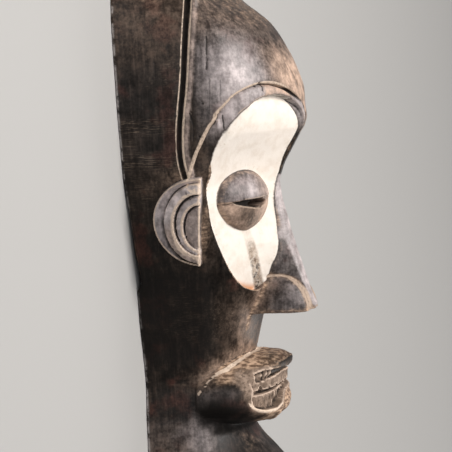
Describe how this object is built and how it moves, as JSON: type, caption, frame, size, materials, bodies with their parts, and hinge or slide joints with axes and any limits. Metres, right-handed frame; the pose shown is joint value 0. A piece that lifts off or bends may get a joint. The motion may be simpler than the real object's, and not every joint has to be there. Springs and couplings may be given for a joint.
{
  "type": "carved wooden face mask",
  "caption": "Long carved wooden face mask with a domed forehead, whitened eye sockets, slit eyes, arched ears, a proud toothed mouth and a flared beard, hollow behind.",
  "frame": {"origin": "under the middle of the mask, on the plane of its back rim, where it lies", "axes": "+Z the way the face looks, up when the mask lies on its rim; +Y towards the crown; +X towards the mask's own left side"},
  "size_m": [0.18, 0.454, 0.1289],
  "materials": {
    "dark_wood": "hand-carved hardwood stained brown-black, half-matt sheen, edges worn to tan, chalky white clay rubbed into the eye sockets"
  },
  "bodies": {
    "root": {"mask": "dark_wood"}
  },
  "joints": []
}
